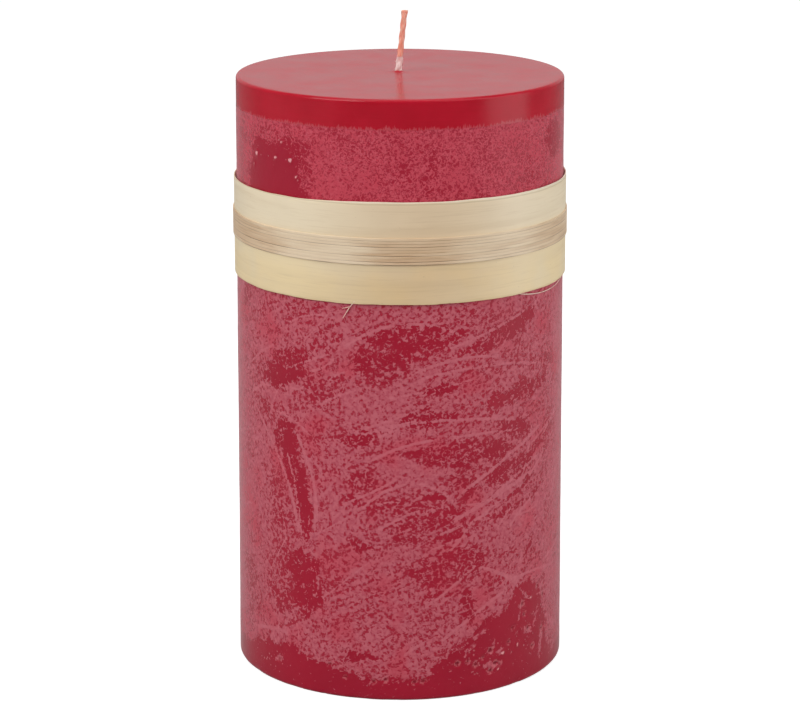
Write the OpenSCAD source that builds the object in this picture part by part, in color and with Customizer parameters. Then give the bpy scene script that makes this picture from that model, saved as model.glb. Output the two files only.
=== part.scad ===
// Moulded pillar candle, dressed with a wide veneer strip and a belt of fine strands.
// Millimetres. Origin: centre of the base, on the candle's axis. +Z up, front at -Y.

/* [Candle] */
// Height of the wax
candle_h = 152.4; // [140:0.1:180]
// Radius at the top rim
rim_r = 41.4; // [40:0.05:41.6]
// Radius at the foot, wider than the rim by the mould's draft
foot_r = 42.1; // [41.7:0.05:43]
// Depth of the smooth top pour
pour_h = 7.4; // [4:0.1:12]
// Rounding of the rim's edge
rim_round = 0.8; // [0.4:0.1:2.5]
// Rounding of the foot's edge
foot_round = 1; // [0.5:0.1:2.5]

/* [Wick] */
// Diameter of the wick inside the wax
wick_d = 1.66; // [1.4:0.02:2.4]
// Length of wick that stands above the wax
wick_stub = 15.4; // [8:0.1:20]
// How far the free end leans over to the right, in degrees
wick_lean = 5.9; // [2:0.1:8]
// How far right of the candle's axis the wick runs
wick_x = -0.4; // [-2:0.1:2]
// How far behind the candle's axis the wick runs
wick_y = 3; // [-4:0.1:4]

/* [Wick tab] */
// Diameter of the stamped tab under the wick
tab_d = 20; // [14:0.5:30]
// Thickness of its sheet metal
tab_t = 0.3; // [0.2:0.05:0.5]
// Height of the neck that grips the wick
neck_h = 8; // [4:0.5:12]

/* [Strip] */
// Height of the strip's lower edge above the base
strip_z = 102.2; // [60:0.1:105]
// Width of the strip
strip_w = 25.4; // [20:0.1:30]
// Thickness of the strip
strip_t = 0.37; // [0.25:0.01:0.6]
// Gap between the strip and the wax at its lower edge
strip_gap = 0.2; // [0.15:0.01:0.4]
// Length of its end overlap, in degrees round the candle
strip_lap = 28; // [16:1:34]

/* [Belt] */
// Height of the whole belt
belt_w = 6.6; // [6:0.1:9]
// Height of the belt's lower edge above the strip's lower edge
belt_rise = 9.9; // [8:0.1:11]
// Thickness of a strand
strand_t = 0.33; // [0.2:0.01:0.5]
// Share of the spacing that a strand fills
strand_fill = 0.9; // [0.8:0.01:0.95]
// Length of the strands' end overlap, in degrees round the candle
belt_lap = 16; // [10:1:24]

/* [Hidden] */
// Strands side by side in the belt
strands = 9;
$fn = 96;

// Clearance round the wick where it passes through wax and metal
wick_gap = 0.02;
// How much thinner the free end is, and how far below the surface its lean starts
trim = 0.06;
knee_depth = 0.2;
// How deep the wick tab sits in the base, so that it never touches the table
tab_recess = 0.3;
// Gap between the tab's edge and the wax round it
tab_gap = 0.3;
// Film of glue between overlapping ends
glue_t = 0.1;
// How far the glue stays inside an overlap, in degrees, and inside the strip's edges, in mm
glue_inset_deg = 4;
glue_inset = 2;
// Plan angle at which the strip's inner end lies, so that its overlap is at the back
strip_start = 76;
// Where the strands' inner ends lie, in degrees on from the strip's inner end
belt_start = 70;
// Stretch over which an end climbs onto the ply below it, in degrees
climb = 18;
// Plan angle between an outline's points
step = 2;
// Points on the rounding of the rim and the foot
round_steps = 6;

wick_r = wick_d / 2;
seam_z = candle_h - pour_h;
tab_top = tab_recess + tab_t;
neck_r = wick_r + wick_gap + tab_t;
strip_r = wax_r(strip_z) + strip_gap;
ply = strip_t + glue_t;
belt_ply = strand_t + glue_t;
belt_z = strip_z + belt_rise;
pitch = belt_w / strands;
strand_h = pitch * strand_fill;

// Radius of the drafted wax wall at a height
function wax_r(z) = foot_r + (rim_r - foot_r) * z / candle_h;

// Smooth rise from 0 to 1
function ease(x) = let (c = min(1, max(0, x))) c * c * (3 - 2 * c);

// Inner radius of the strip, t degrees along it from its inner end
function strip_in(t) = strip_r + ply * ease((t - 360 + climb) / climb);

// Outer surface that the strands lie on, t degrees round from the strip's inner end
function bed_r(t) = strip_r + strip_t
    + ply * max(ease((t - 360 + climb) / climb), 1 - ease((t - strip_lap) / climb));

// Inner radius of a strand, s degrees along it from its own inner end
function strand_in(s) = bed_r((belt_start + s) % 360) + belt_ply * ease((s - 360 + climb) / climb);

// Plan point at a radius and an angle
function at(r, a) = [r * cos(a), r * sin(a)];

// Points of a quarter circle about a centre, starting at an angle
function rounding(c, r, from) = [for (i = [0 : round_steps]) c + at(r, from + 90 * i / round_steps)];

// A curved flat piece between two plan angles, from its inner and outer radius at each
module wrap(angles, inner, outer, h) {
    last = len(angles) - 1;
    linear_extrude(height = h)
        polygon(concat(
            [for (i = [0 : last]) at(outer[i], angles[i])],
            [for (i = [last : -1 : 0]) at(inner[i], angles[i])]
        ));
}

// Frosted main pour, with the wick's bore and the seat of its tab
module wax_body() {
    foot_c = [wax_r(foot_round) - foot_round, foot_round];
    color([0.69, 0.24, 0.3])
        difference() {
            rotate_extrude()
                polygon(concat(
                    [[0, 0]],
                    rounding(foot_c, foot_round, -90),
                    [[wax_r(seam_z), seam_z], [0, seam_z]]
                ));
            translate([wick_x, wick_y, -1])
                cylinder(r = wick_r + wick_gap, h = seam_z + 2);
            translate([wick_x, wick_y, -1])
                cylinder(r = neck_r + wick_gap, h = tab_top + neck_h + 1);
            translate([wick_x, wick_y, -1])
                cylinder(d = tab_d + 2 * tab_gap, h = tab_top + 1);
        }
}

// Smooth darker pour that closes the top
module top_pour() {
    rim_z = candle_h - rim_round;
    rim_c = [wax_r(rim_z) - rim_round, rim_z];
    color([0.65, 0.08, 0.15])
        difference() {
            rotate_extrude()
                polygon(concat(
                    [[0, seam_z], [wax_r(seam_z), seam_z]],
                    rounding(rim_c, rim_round, 0),
                    [[0, candle_h]]
                ));
            translate([wick_x, wick_y, seam_z - 1])
                cylinder(r = wick_r + wick_gap, h = pour_h + 2);
        }
}

// Wick, straight up through the wax and leaning where it stands free
module wick() {
    color([0.9, 0.55, 0.48])
        translate([wick_x, wick_y, 0]) {
            translate([0, 0, tab_recess])
                cylinder(r = wick_r, h = candle_h - tab_recess);
            translate([0, 0, candle_h - knee_depth])
                rotate([0, wick_lean, 0])
                cylinder(d = wick_d - trim, h = wick_stub + knee_depth);
        }
}

// Stamped tab with a drawn neck, pressed into the base
module wick_tab() {
    bore_r = wick_r + wick_gap;
    color([0.75, 0.75, 0.76])
        translate([wick_x, wick_y, 0])
        rotate_extrude()
            polygon([
                [bore_r, tab_recess],
                [tab_d / 2, tab_recess],
                [tab_d / 2, tab_top],
                [neck_r, tab_top],
                [neck_r, tab_top + neck_h],
                [bore_r, tab_top + neck_h]
            ]);
}

// Wide veneer strip, wound once round the candle with its end lapped over its start
module strip() {
    turn = [for (t = [0 : step : 360 + strip_lap]) t];
    color([0.87, 0.79, 0.65])
        translate([0, 0, strip_z])
        wrap(
            [for (t = turn) strip_start + t],
            [for (t = turn) strip_in(t)],
            [for (t = turn) strip_in(t) + strip_t],
            strip_w
        );
}

// Glue between the strip's two ends
module strip_glue() {
    turn = [for (t = [glue_inset_deg : step : strip_lap - glue_inset_deg]) t];
    color([0.8, 0.7, 0.5])
        translate([0, 0, strip_z + glue_inset])
        wrap(
            [for (t = turn) strip_start + t],
            [for (t = turn) strip_r + strip_t],
            [for (t = turn) strip_r + ply],
            strip_w - 2 * glue_inset
        );
}

// One strand of the belt, counted from the bottom
module belt_strand(i) {
    turn = [for (s = [0 : step : 360 + belt_lap]) s];
    color([0.76, 0.64, 0.5])
        translate([0, 0, belt_z + pitch * (i - 1) + (pitch - strand_h) / 2])
        wrap(
            [for (s = turn) strip_start + belt_start + s],
            [for (s = turn) strand_in(s)],
            [for (s = turn) strand_in(s) + strand_t],
            strand_h
        );
}

// Glue between the strands' two ends
module belt_glue() {
    turn = [for (s = [glue_inset_deg : step : belt_lap - glue_inset_deg]) s];
    color([0.8, 0.7, 0.5])
        translate([0, 0, belt_z + pitch - strand_h])
        wrap(
            [for (s = turn) strip_start + belt_start + s],
            [for (s = turn) strand_in(s) + strand_t],
            [for (s = turn) strand_in(s) + belt_ply],
            belt_w - 2 * (pitch - strand_h)
        );
}

wax_body();
top_pour();
wick();
wick_tab();
strip();
strip_glue();
belt_glue();
for (i = [1 : strands])
    belt_strand(i);
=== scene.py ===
import math

import bmesh
import bpy
import numpy as np
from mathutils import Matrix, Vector, noise


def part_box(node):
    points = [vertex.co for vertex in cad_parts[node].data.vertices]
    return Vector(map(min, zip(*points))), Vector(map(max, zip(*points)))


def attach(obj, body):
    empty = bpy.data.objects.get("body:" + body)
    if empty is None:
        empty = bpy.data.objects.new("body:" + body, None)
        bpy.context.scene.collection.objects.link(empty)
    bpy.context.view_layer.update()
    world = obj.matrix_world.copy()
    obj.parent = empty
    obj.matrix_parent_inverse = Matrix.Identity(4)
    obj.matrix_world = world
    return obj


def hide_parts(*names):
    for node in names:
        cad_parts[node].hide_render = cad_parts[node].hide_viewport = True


# A moulded pillar candle in a lift-off band, built round its CAD frame.
# Lengths are in metres. An azimuth is the angle round the candle in degrees: 0 is the front (-Y)
# and positive is to the right (+X).

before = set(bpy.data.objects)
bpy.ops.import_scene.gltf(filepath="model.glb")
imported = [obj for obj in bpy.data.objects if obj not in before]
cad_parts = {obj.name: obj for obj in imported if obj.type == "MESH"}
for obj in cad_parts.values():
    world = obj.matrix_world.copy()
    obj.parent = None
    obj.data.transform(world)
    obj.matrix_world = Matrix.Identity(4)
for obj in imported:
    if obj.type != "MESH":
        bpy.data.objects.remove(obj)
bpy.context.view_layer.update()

MM = 0.001

# How bright the room looks round the front of the candle and behind it, and how much of its own
# white the floor shows the camera
ROOM_LIGHT = (0.3, 0.6)
FLOOR_GLOW = 0.8

# ---- sizes, from the frame

BODY_LOW, BODY_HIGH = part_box("wax_body")
POUR_LOW, POUR_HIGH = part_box("top_pour")
STRIP_LOW, STRIP_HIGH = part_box("strip")
WICK_LOW, WICK_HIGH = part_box("wick")
TAB_LOW, TAB_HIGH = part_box("wick_tab")
BELT_NODES = sorted(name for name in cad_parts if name.startswith("belt_strand_"))

SEAM_Z = BODY_HIGH.z
CANDLE_H = POUR_HIGH.z
SEAM_R = POUR_HIGH.x
FOOT_R = BODY_HIGH.x
RIM_ROUND = 0.8 * MM
FOOT_ROUND = 1.0 * MM

WICK_R = 0.83 * MM
WICK_GAP = 0.02 * MM
BORE_R = WICK_R + WICK_GAP
WICK_AXIS = Vector((WICK_LOW.x + WICK_R, (WICK_LOW.y + WICK_HIGH.y) / 2, 0))
WICK_LEAN = math.radians(5.9)
# Height, measured along the wick, at which its free end stops
WICK_END = CANDLE_H + (WICK_HIGH.z - CANDLE_H) / math.cos(WICK_LEAN)

TAB_R = (TAB_HIGH.x - TAB_LOW.x) / 2
TAB_T = 0.3 * MM
TAB_GAP = 0.3 * MM
NECK_R = BORE_R + TAB_T

# Angles round the band are plan angles in degrees, anticlockwise from +X
STRIP_T = 0.37 * MM
STRIP_R = -STRIP_LOW.y - STRIP_T
STRIP_LAP = 28
STRAND_T = 0.33 * MM
BELT_LAP = 16
GLUE_T = 0.1 * MM
STRIP_START = 76
BELT_START = 70
CLIMB = 18

# Width in mm of one degree of azimuth on the wall
DEGREE_MM = math.radians(1) * SEAM_R / MM


# ---- small tools

def smooth(low, high, x):
    """Smooth rise from 0 at low to 1 at high."""
    t = np.clip((x - low) / (high - low), 0, 1)
    return t * t * (3 - 2 * t)


def wall_r(z):
    """Radius of the drafted wax wall at a height."""
    return FOOT_R + (SEAM_R - FOOT_R) * z / SEAM_Z


def around(radius, azimuth):
    """x and y at a radius and an azimuth in degrees."""
    a = np.radians(azimuth)
    return radius * np.sin(a), -radius * np.cos(a)


def grain(points, size, seed, octaves):
    """Fractal noise of about -1 to 1 at each point, its features about size across."""
    shift = Vector((seed * 17.3, seed * -9.1, seed * 5.7))
    out = [
        noise.fractal(Vector(p) / size + shift, 1.0, 2.0, octaves)
        for p in np.asarray(points).reshape(-1, 3)
    ]
    return np.array(out).reshape(np.shape(points)[:-1])


def placed(name, data):
    """A new object in the scene."""
    made = bpy.data.objects.new(name, data)
    bpy.context.scene.collection.objects.link(made)
    return made


def lattice(name, grid, wrap_rows=True, capped=True, sharp=35):
    """A mesh object over a grid of points: its columns close on themselves, and its rows may.

    Rows that don't close on themselves get a flat cap at each end if capped is true."""
    rows, columns = grid.shape[:2]
    index = np.arange(rows * columns).reshape(rows, columns)
    right, up = np.roll(index, -1, 1), np.roll(index, -1, 0)
    corner = np.roll(right, -1, 0)
    quads = np.stack([index, right, corner, up], 2)
    faces = quads[: rows if wrap_rows else rows - 1].reshape(-1, 4).tolist()
    if capped and not wrap_rows:
        faces += [index[0][::-1].tolist(), index[-1].tolist()]
    mesh = bpy.data.meshes.new(name)
    mesh.from_pydata(grid.reshape(-1, 3).tolist(), [], faces)
    work = bmesh.new()
    work.from_mesh(mesh)
    bmesh.ops.recalc_face_normals(work, faces=work.faces)
    work.to_mesh(mesh)
    work.free()
    mesh.shade_smooth()
    mesh.set_sharp_from_angle(angle=math.radians(sharp))
    return placed(name, mesh)


def paint(piece, name, values):
    """Stores one number per vertex for the piece's material to read."""
    layer = piece.data.attributes.new(name, "FLOAT", "POINT")
    layer.data.foreach_set("value", np.asarray(values, np.float32).ravel())


def dress(piece, material, body, slot, *nodes):
    """Gives a piece its material and body, and hides the CAD nodes that it stands for."""
    piece.data.materials.clear()
    piece.data.materials.append(material)
    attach(piece, body)
    if nodes:
        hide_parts(*nodes)


class Nodes:
    """Short ways to add nodes to a node tree."""

    def __init__(self, tree):
        self.tree = tree

    def node(self, kind, settings=(), **inputs):
        made = self.tree.nodes.new(kind)
        for key, value in dict(settings).items():
            setattr(made, key, value)
        for key, value in inputs.items():
            self.put(value, made.inputs[key.replace("_", " ")])
        return made

    def put(self, value, socket):
        if isinstance(value, bpy.types.NodeSocket):
            self.tree.links.new(value, socket)
        else:
            socket.default_value = value

    def math(self, operation, *values):
        made = self.node("ShaderNodeMath", {"operation": operation})
        for value, socket in zip(values, made.inputs):
            self.put(value, socket)
        return made.outputs[0]

    def times(self, a, b):
        return self.math("MULTIPLY", a, b)

    def less(self, a, b):
        return self.math("SUBTRACT", a, b)

    def show(self, first, second, kind, output, **inputs):
        """Makes two shaders into one of a kind, and that one the tree's result."""
        made = self.node(kind, **inputs)
        for shader, socket in zip((first, second), list(made.inputs)[-2:]):
            self.put(shader.outputs[0], socket)
        self.put(made.outputs[0], self.tree.nodes[output].inputs["Surface"])


class Graph(Nodes):
    """A new material. Positions are in millimetres inside it."""

    def __init__(self, name):
        self.material = bpy.data.materials.new(name)
        self.material.use_nodes = True
        super().__init__(self.material.node_tree)
        self.shader = self.tree.nodes["Principled BSDF"]
        place = self.node("ShaderNodeTexCoord").outputs["Object"]
        self.place = self.vector("SCALE", place, scale=1 / MM)
        self.z = self.node("ShaderNodeSeparateXYZ", Vector=self.place).outputs["Z"]

    def vector(self, operation, a, b=(0, 0, 0), scale=1):
        made = self.node("ShaderNodeVectorMath", {"operation": operation})
        self.put(a, made.inputs[0])
        if operation == "SCALE":
            self.put(scale, made.inputs["Scale"])
        else:
            self.put(b, made.inputs[1])
        return made.outputs["Vector"]

    def noise(self, size, place=None, detail=2, roughness=0.5, distortion=0.0, shift=0):
        where = self.vector("ADD", place or self.place, (shift * 31.0, shift * 17.0, shift * 47.0))
        made = self.node("ShaderNodeTexNoise", Vector=where, Scale=1 / size, Detail=detail,
                         Roughness=roughness, Distortion=distortion)
        return made.outputs["Fac"]

    def cells(self, size, place=None):
        """Distance to the nearest of a scatter of points that are about size apart."""
        made = self.node("ShaderNodeTexVoronoi", Vector=place or self.place, Scale=1 / size)
        return made.outputs["Distance"]

    def rise(self, value, low, high):
        """Smooth step from 0 to 1 as value goes from low to high."""
        made = self.node("ShaderNodeMapRange", {"interpolation_type": "SMOOTHSTEP"})
        for key, number in zip(("Value", "From Min", "From Max"), (value, low, high)):
            self.put(number, made.inputs[key])
        return made.outputs["Result"]

    def fit(self, value, low, high, new_low, new_high):
        made = self.node("ShaderNodeMapRange")
        numbers = (value, low, high, new_low, new_high)
        for number, socket in zip(numbers, made.inputs):
            self.put(number, socket)
        return made.outputs["Result"]

    def blend(self, share, a, b, mode="MIX"):
        """Colour a where share is 0 and colour b where it is 1."""
        made = self.node("ShaderNodeMix", {"data_type": "RGBA", "blend_type": mode})
        for number, value in ((0, share), (6, a), (7, b)):
            self.put(value, made.inputs[number])
        return made.outputs[2]

    def coat(self, colour, share, amount, *shade):
        """The colour with a shade laid over it, an amount of it where share is 1."""
        return self.blend(self.times(share, amount), colour, rgb(*shade))

    def painted(self, name):
        return self.node("ShaderNodeAttribute", {"attribute_name": name}).outputs["Fac"]

    def twisted(self, slope, squeeze):
        """The place, sheared round the Z axis so that noise runs up to the right at a slope.

        squeeze is how many times longer than wide its features are along that way."""
        turn = self.times(self.z, -MM / (SEAM_R * slope))
        made = self.node("ShaderNodeVectorRotate", {"rotation_type": "Z_AXIS"}, Vector=self.place)
        self.put(turn, made.inputs["Angle"])
        return self.vector("MULTIPLY", made.outputs[0], (1, 1, 1 / squeeze))

    def bump(self, height, distance, strength):
        made = self.node("ShaderNodeBump", Height=height, Distance=distance, Strength=strength)
        return made.outputs[0]

    def finish(self, **inputs):
        for key, value in inputs.items():
            self.put(value, self.shader.inputs[key.replace("_", " ")])
        return self.material


def rgb(red, green, blue):
    """A colour given as 0 to 255 screen values, as the linear RGBA that shaders take."""
    parts = [v / 255 for v in (red, green, blue)]
    return tuple(v / 12.92 if v <= 0.04045 else ((v + 0.055) / 1.055) ** 2.4 for v in parts) + (1,)


# ---- where the wax is frosted

# Each patch: azimuth, height in mm, half its length and half its width in mm, its tilt in degrees
# (up to the right), and how much frost it takes away, or adds where that is negative.
PATCHES = [
    # between the pour and the band: the large smooth window, and a faint one round to the right
    (-48.5, 126, 10, 6.5, 0, 0.8), (-49.5, 132, 8.6, 6, 0, 0.6), (-56, 136, 4, 4, 10, 0.45),
    (-46, 135, 6, 3.5, -25, 0.4), (-50, 139, 12, 4, 0, 0.25), (67, 139, 4.5, 4.5, 0, 0.45),
    (-34, 133, 3, 4, 40, 0.25), (-41, 138, 3, 4, 60, 0.25), (-60, 130, 2, 5, 90, 0.3),
    (10, 134, 5, 1.3, 88, 0.2), (-50, 141, 10, 1.2, 0, -0.15), (-20, 131, 8, 3, 0, -0.1),
    (45, 131, 6, 2.4, 0, 0.12), (-74, 128, 3, 14, 0, 0.1),
    # just below the band
    (5, 94, 12, 2.7, 0, 0.45), (-6, 88, 8, 5, 10, 0.28), (-12, 88, 2.4, 2.4, 0, 0.3),
    (8, 90, 9, 1.6, 12, 0.25), (37, 93, 11, 2.2, 20, 0.42), (47, 95, 5, 2.6, 35, 0.35),
    (-43, 84, 9, 3.4, 30, 0.5), (-46, 80.5, 2.5, 4, 0, 0.35), (-25, 93, 5, 3, 20, 0.2),
    (-66, 98, 2.2, 3, 0, 0.3), (-53, 80, 12, 2.6, 10, 0.15), (14, 80.6, 4, 1.4, 8, 0.5),
    (-26, 80, 6, 5, 20, 0.2), (57, 84, 6, 1, -8, 0.25), (20, 98, 4, 4, 0, 0.15),
    # middle of the right side
    (45, 77, 11, 2.3, 6, 0.5), (9, 73.2, 6, 2.2, 5, 0.45), (20, 64, 11, 3.2, 0, 0.35),
    (37, 63.5, 4, 2.4, 0, 0.4), (42, 57.5, 6.5, 2.8, 14, 0.45), (44, 68, 5.5, 2, -16, 0.55),
    (59, 63.5, 7, 1.5, 32, 0.45), (22, 57, 3, 5, 20, 0.25), (11, 53.2, 3.2, 0.9, -8, 0.75),
    (47, 52.6, 5.5, 1, 30, 0.6), (34, 50.5, 4.5, 0.7, 0, 0.3), (40, 47.2, 5, 0.9, 10, 0.45),
    (51, 48.6, 5, 0.9, 20, 0.3), (32, 60.5, 3.5, 3, 0, 0.25), (5, 64.6, 2, 1, 0, 0.35),
    # middle of the left side
    (-43, 66, 4, 4, 0, 0.6), (-39, 57, 10, 2.8, -72, 0.55), (-35, 49, 8, 2.4, -82, 0.5),
    (-15, 68, 4.2, 2, 10, 0.6), (-16.5, 52.6, 2, 1, 0, 0.4), (-13, 57, 3, 2, 0, 0.3),
    (-4, 51, 8, 1.8, 0, 0.28), (-56, 72, 3, 2, -30, 0.2), (-47, 50, 3, 8, 0, 0.15),
    # lower part
    (11, 46, 10, 4.5, 8, 0.3), (19.5, 42.3, 3.2, 0.7, 0, 0.6), (-13, 40, 3.4, 1.5, 0, 0.3),
    (-36, 33, 4, 4, 0, 0.7), (-34, 25, 3.6, 5, 0, 0.55), (-45, 28, 5, 8, 0, 0.28),
    (17, 35, 9, 5, 10, 0.32), (24, 24, 2.2, 4, 0, 0.45), (15, 27.5, 5, 0.9, 5, 0.32),
    (-67, 26, 5, 4.5, 0, 0.25), (-64, 18, 5, 2.4, 20, 0.2), (-14, 11.4, 4, 0.9, -4, 0.75),
    (50, 36, 2.6, 0.5, 65, 0.6), (68, 39.5, 1.4, 1.5, 0, 0.3), (-28, 27, 0.8, 4, 0, 0.25),
    (-9.5, 33, 0.6, 2, -20, 0.3), (-4, 21, 1, 2, 0, 0.25), (35, 29, 4, 3, -20, 0.2),
    # frosted spots on the smooth foot
    (47.5, 20, 2.4, 0.7, 80, -1.3), (51, 13.6, 1.6, 0.9, -50, -1.3), (34, 11.4, 1.5, 1, 60, -1.3),
    (33, 7, 2.6, 0.9, 10, -1.25), (59, 9, 5, 0.9, 85, -1.2), (26, 8.6, 2.2, 0.6, 20, -1.1),
    (38, 10.5, 0.9, 0.9, 0, -1.2), (56, 16, 3, 0.5, 70, -1.2), (-47, 6.4, 1.3, 0.6, 50, -1.3),
    (24, 12, 2.4, 0.7, 30, -1.1), (50, 23, 1.8, 0.7, -40, -1.2), (29, 16, 2.4, 0.8, 20, -1.2),
    # thicker frost, and a thin place high on the left
    (-17.5, 84, 14, 1.4, 90, -0.25), (-10, 76, 9, 5, 0, -0.15), (5, 59, 6, 3.2, -20, -0.25),
    (48, 42, 9, 5, 20, -0.2), (27.5, 25, 1.7, 3, 0, -0.3), (-48, 75.5, 4, 1.5, 0, -0.25),
    (-60, 45, 5, 12, 0, -0.12), (75, 90, 6, 40, 0, -0.15), (-76, 70, 5, 60, 0, -0.15),
    (56, 90, 1, 8, 6, -0.15), (-25, 47, 4, 7, 0, -0.1), (35, 40, 5, 3, 0, -0.1),
    (68, 24, 4, 6, 0, -0.15), (-66, 50, 3, 6, 0, -0.15), (-35, 99, 5, 3, 0, 0.12),
]
# Each stroke: azimuth and height of its two ends, how far it bows up, half its width in mm, and how
# much frost it adds, or takes away where that is negative.
STROKES = [
    (-62, 72, -37, 38, 4.5, 0.55, 0.35), (-41, 70, -30, 42, 3, 0.55, 0.3),
    (-47, 70, -36, 37, 2, 0.5, 0.35), (-50, 72, -30, 66, 1.5, 0.5, 0.2),
    (-21, 90, 0, 97.4, 1, 0.5, 0.3), (0, 97.2, 24, 92.5, 1.6, 0.5, 0.25),
    (14, 90, 52, 98.5, 0, 0.45, 0.3), (2, 84, 40, 86.5, 2.6, 0.5, 0.25),
    (2, 82.5, 62, 81.5, 3.4, 0.5, 0.22), (-8, 78, 30, 83, 0, 0.5, 0.15),
    (-12, 70.5, 52, 68.5, 3, 0.5, 0.28), (-18, 69, 8, 76, 0, 0.45, 0.2),
    (-12, 61.5, 14, 67.8, 1.5, 0.5, 0.25), (14, 67.8, 50, 67, 0.8, 0.5, 0.2),
    (18, 52, 62, 68, 1, 0.6, 0.3), (30, 50, 60, 60, 0.8, 0.6, 0.32), (14, 45, 58, 56.5, 1, 0.7, 0.3),
    (-14, 49, 4, 57, 1.5, 0.5, 0.25), (4, 57, 20, 50, 1.5, 0.5, 0.2), (12, 43, 34, 48, 0, 0.5, 0.25),
    (26, 34, 48, 26, 1, 0.5, 0.25), (30, 33, 50, 22, 1.5, 0.5, 0.25), (8, 24, 30, 36, 0, 0.5, 0.2),
    (12, 14, 42, 27, 1, 0.6, 0.25), (-48, 14.5, -31, 20.5, 0, 0.6, -0.5),
    (-32, 41, -15, 49, 0, 0.4, 0.15), (-60, 76, -20, 90, 1, 0.5, 0.18),
    (-70, 78, -45, 90, 1, 0.6, 0.15), (-62, 12, -40, 14, 1, 0.9, 0.15),
    (40, 28.5, 72, 27, 1, 0.6, 0.2), (-30, 24, -8, 38, 0, 0.4, 0.15),
    (50, 62, 74, 70, 0, 0.7, 0.15), (60, 30, 78, 34, 0, 0.6, 0.15),
]
# Middle and half sizes of the part of the wall, at the lower left, whose scratches fall steeply
STEEP_AT, STEEP_SIZE = (-42, 44), (17, 36)
# Usual share of the wall that frost covers
USUAL_FROST = 0.62
# Top of the smooth foot, as azimuth and height in mm
FOOT_LINE = [
    (-180, 5), (-150, 9), (-125, 4), (-90, 3), (-70, 6), (-60, 8.2), (-42, 10.2), (-30, 7.6), (-25, 7),
    (-12, 4.6), (5, 4), (9, 5), (12, 8), (16, 10.5), (24, 13), (30, 18), (40, 20), (44, 25),
    (52, 26), (57, 22), (61, 16), (63, 7), (70, 3), (90, 4), (115, 9), (140, 6), (180, 5),
]


def tilted(azimuth, height, at, half_length, half_width, tilt, power=2):
    """How far inside an ellipse each place is: 0 at its middle and 1 on its edge.

    A power below 2 makes its ends pointed."""
    along = (np.mod(azimuth - at[0] + 180, 360) - 180) * DEGREE_MM
    up = height - at[1]
    c, s = math.cos(math.radians(tilt)), math.sin(math.radians(tilt))
    length, width = np.abs(along * c + up * s), np.abs(up * c - along * s)
    return ((length / half_length) ** power + (width / half_width) ** power) ** (1 / power)


def stroke_ramp(azimuth, height, start, end, bow, half_width):
    """1 along the middle of a bowed stroke between two places, falling evenly to 0 beside it."""
    along = (np.mod(azimuth - start[0] + 180, 360) - 180) * DEGREE_MM
    up = height - start[1]
    run, rise = (end[0] - start[0]) * DEGREE_MM, end[1] - start[1]
    length = math.hypot(run, rise)
    share = (along * run + up * rise) / length ** 2
    off = (up * run - along * rise) / length - bow * 4 * share * (1 - share)
    ends = smooth(-0.02, 0.12, share) * (1 - smooth(0.85, 1.02, share))
    return ends * np.clip(1 - np.abs(off) / (2.6 * half_width), 0, 1)


def back_patches():
    """Seeded patches round the sides and back, where no patch is listed."""
    random = np.random.default_rng(7)
    patches = []
    for _ in range(60):
        azimuth = 180 + random.uniform(-98, 98)
        long = random.uniform(3, 11)
        patches.append((azimuth, random.uniform(14, 140), long, long * random.uniform(0.15, 0.5),
                        random.choice([-70, 12, 25, 30, 85]), random.uniform(0.15, 0.5)))
    return patches


def scatter_strokes():
    """Seeded fine strokes all over, most of them rising to the right and steep on the lower left."""
    random = np.random.default_rng(11)
    strokes = []
    for _ in range(230):
        azimuth, height = random.uniform(-180, 180), random.uniform(8, 104)
        steep = -60 < azimuth < -28 and height < 72
        tilt = math.radians(random.normal(-76, 14) if steep else random.normal(22, 20))
        length = random.uniform(5, 17)
        run, rise = length * math.cos(tilt) / DEGREE_MM, length * math.sin(tilt)
        strokes.append((azimuth, height, azimuth + run, height + rise, random.uniform(-1, 1.5),
                        random.uniform(0.3, 0.6), random.choice([0.2, 0.14, -0.16])))
    return strokes


def frost_cover(azimuth, height, points):
    """Share of the wall that frost covers at each place, and its ramps to pale and dark lines."""
    jitter = grain(points, 2.6 * MM, 1, 3)
    drift = grain(points, 9 * MM, 2, 2)
    across = azimuth + 1.5 * jitter + 1.5 * drift
    level = height + 1.0 * grain(points, 2.6 * MM, 3, 3)
    cover = USUAL_FROST + 0.12 * grain(points, 6 * MM, 4, 3) + 0.07 * drift
    for a, z, long, wide, tilt, change in PATCHES + back_patches():
        inside = tilted(across, level, (a, z), 1.15 * long, 1.1 * wide, tilt, 1.5)
        cover -= change * (1 - smooth(0.9, 1.12, inside))
    pale, dark = np.zeros_like(cover), np.zeros_like(cover)
    for a, z, to_a, to_z, bow, half_width, change in STROKES + scatter_strokes():
        ramp = stroke_ramp(azimuth, height, (a, z), (to_a, to_z), bow, half_width)
        ramp *= np.clip(0.75 + abs(change), 0, 1)
        if change > 0:
            pale = np.maximum(pale, ramp)
        else:
            dark = np.maximum(dark, ramp)
    line = np.interp(azimuth, *zip(*FOOT_LINE)) + 1.6 * jitter
    cover -= 1.2 * (1 - smooth(-0.8, 2.4, height - line))
    return np.clip(cover, -0.4, 1.2), pale, dark


# ---- wax meshes

# Columns are closer together on the front, where the pits and crystals are finest
COLUMNS = np.concatenate([np.arange(-96, 96, 0.75), np.arange(96, 264, 1.6)])
ROW_MM = 0.58
# Heights in mm between which the wall's relief fades out, just under the pour
FADE_FROM, FADE_OUT = 143.5, 144.9
# Depth of the dish in the top, and how high and how far in mm wax climbs the wick
DISH = 0.12 * MM
MENISCUS, MENISCUS_REACH = 0.3 * MM, 0.9

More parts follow.
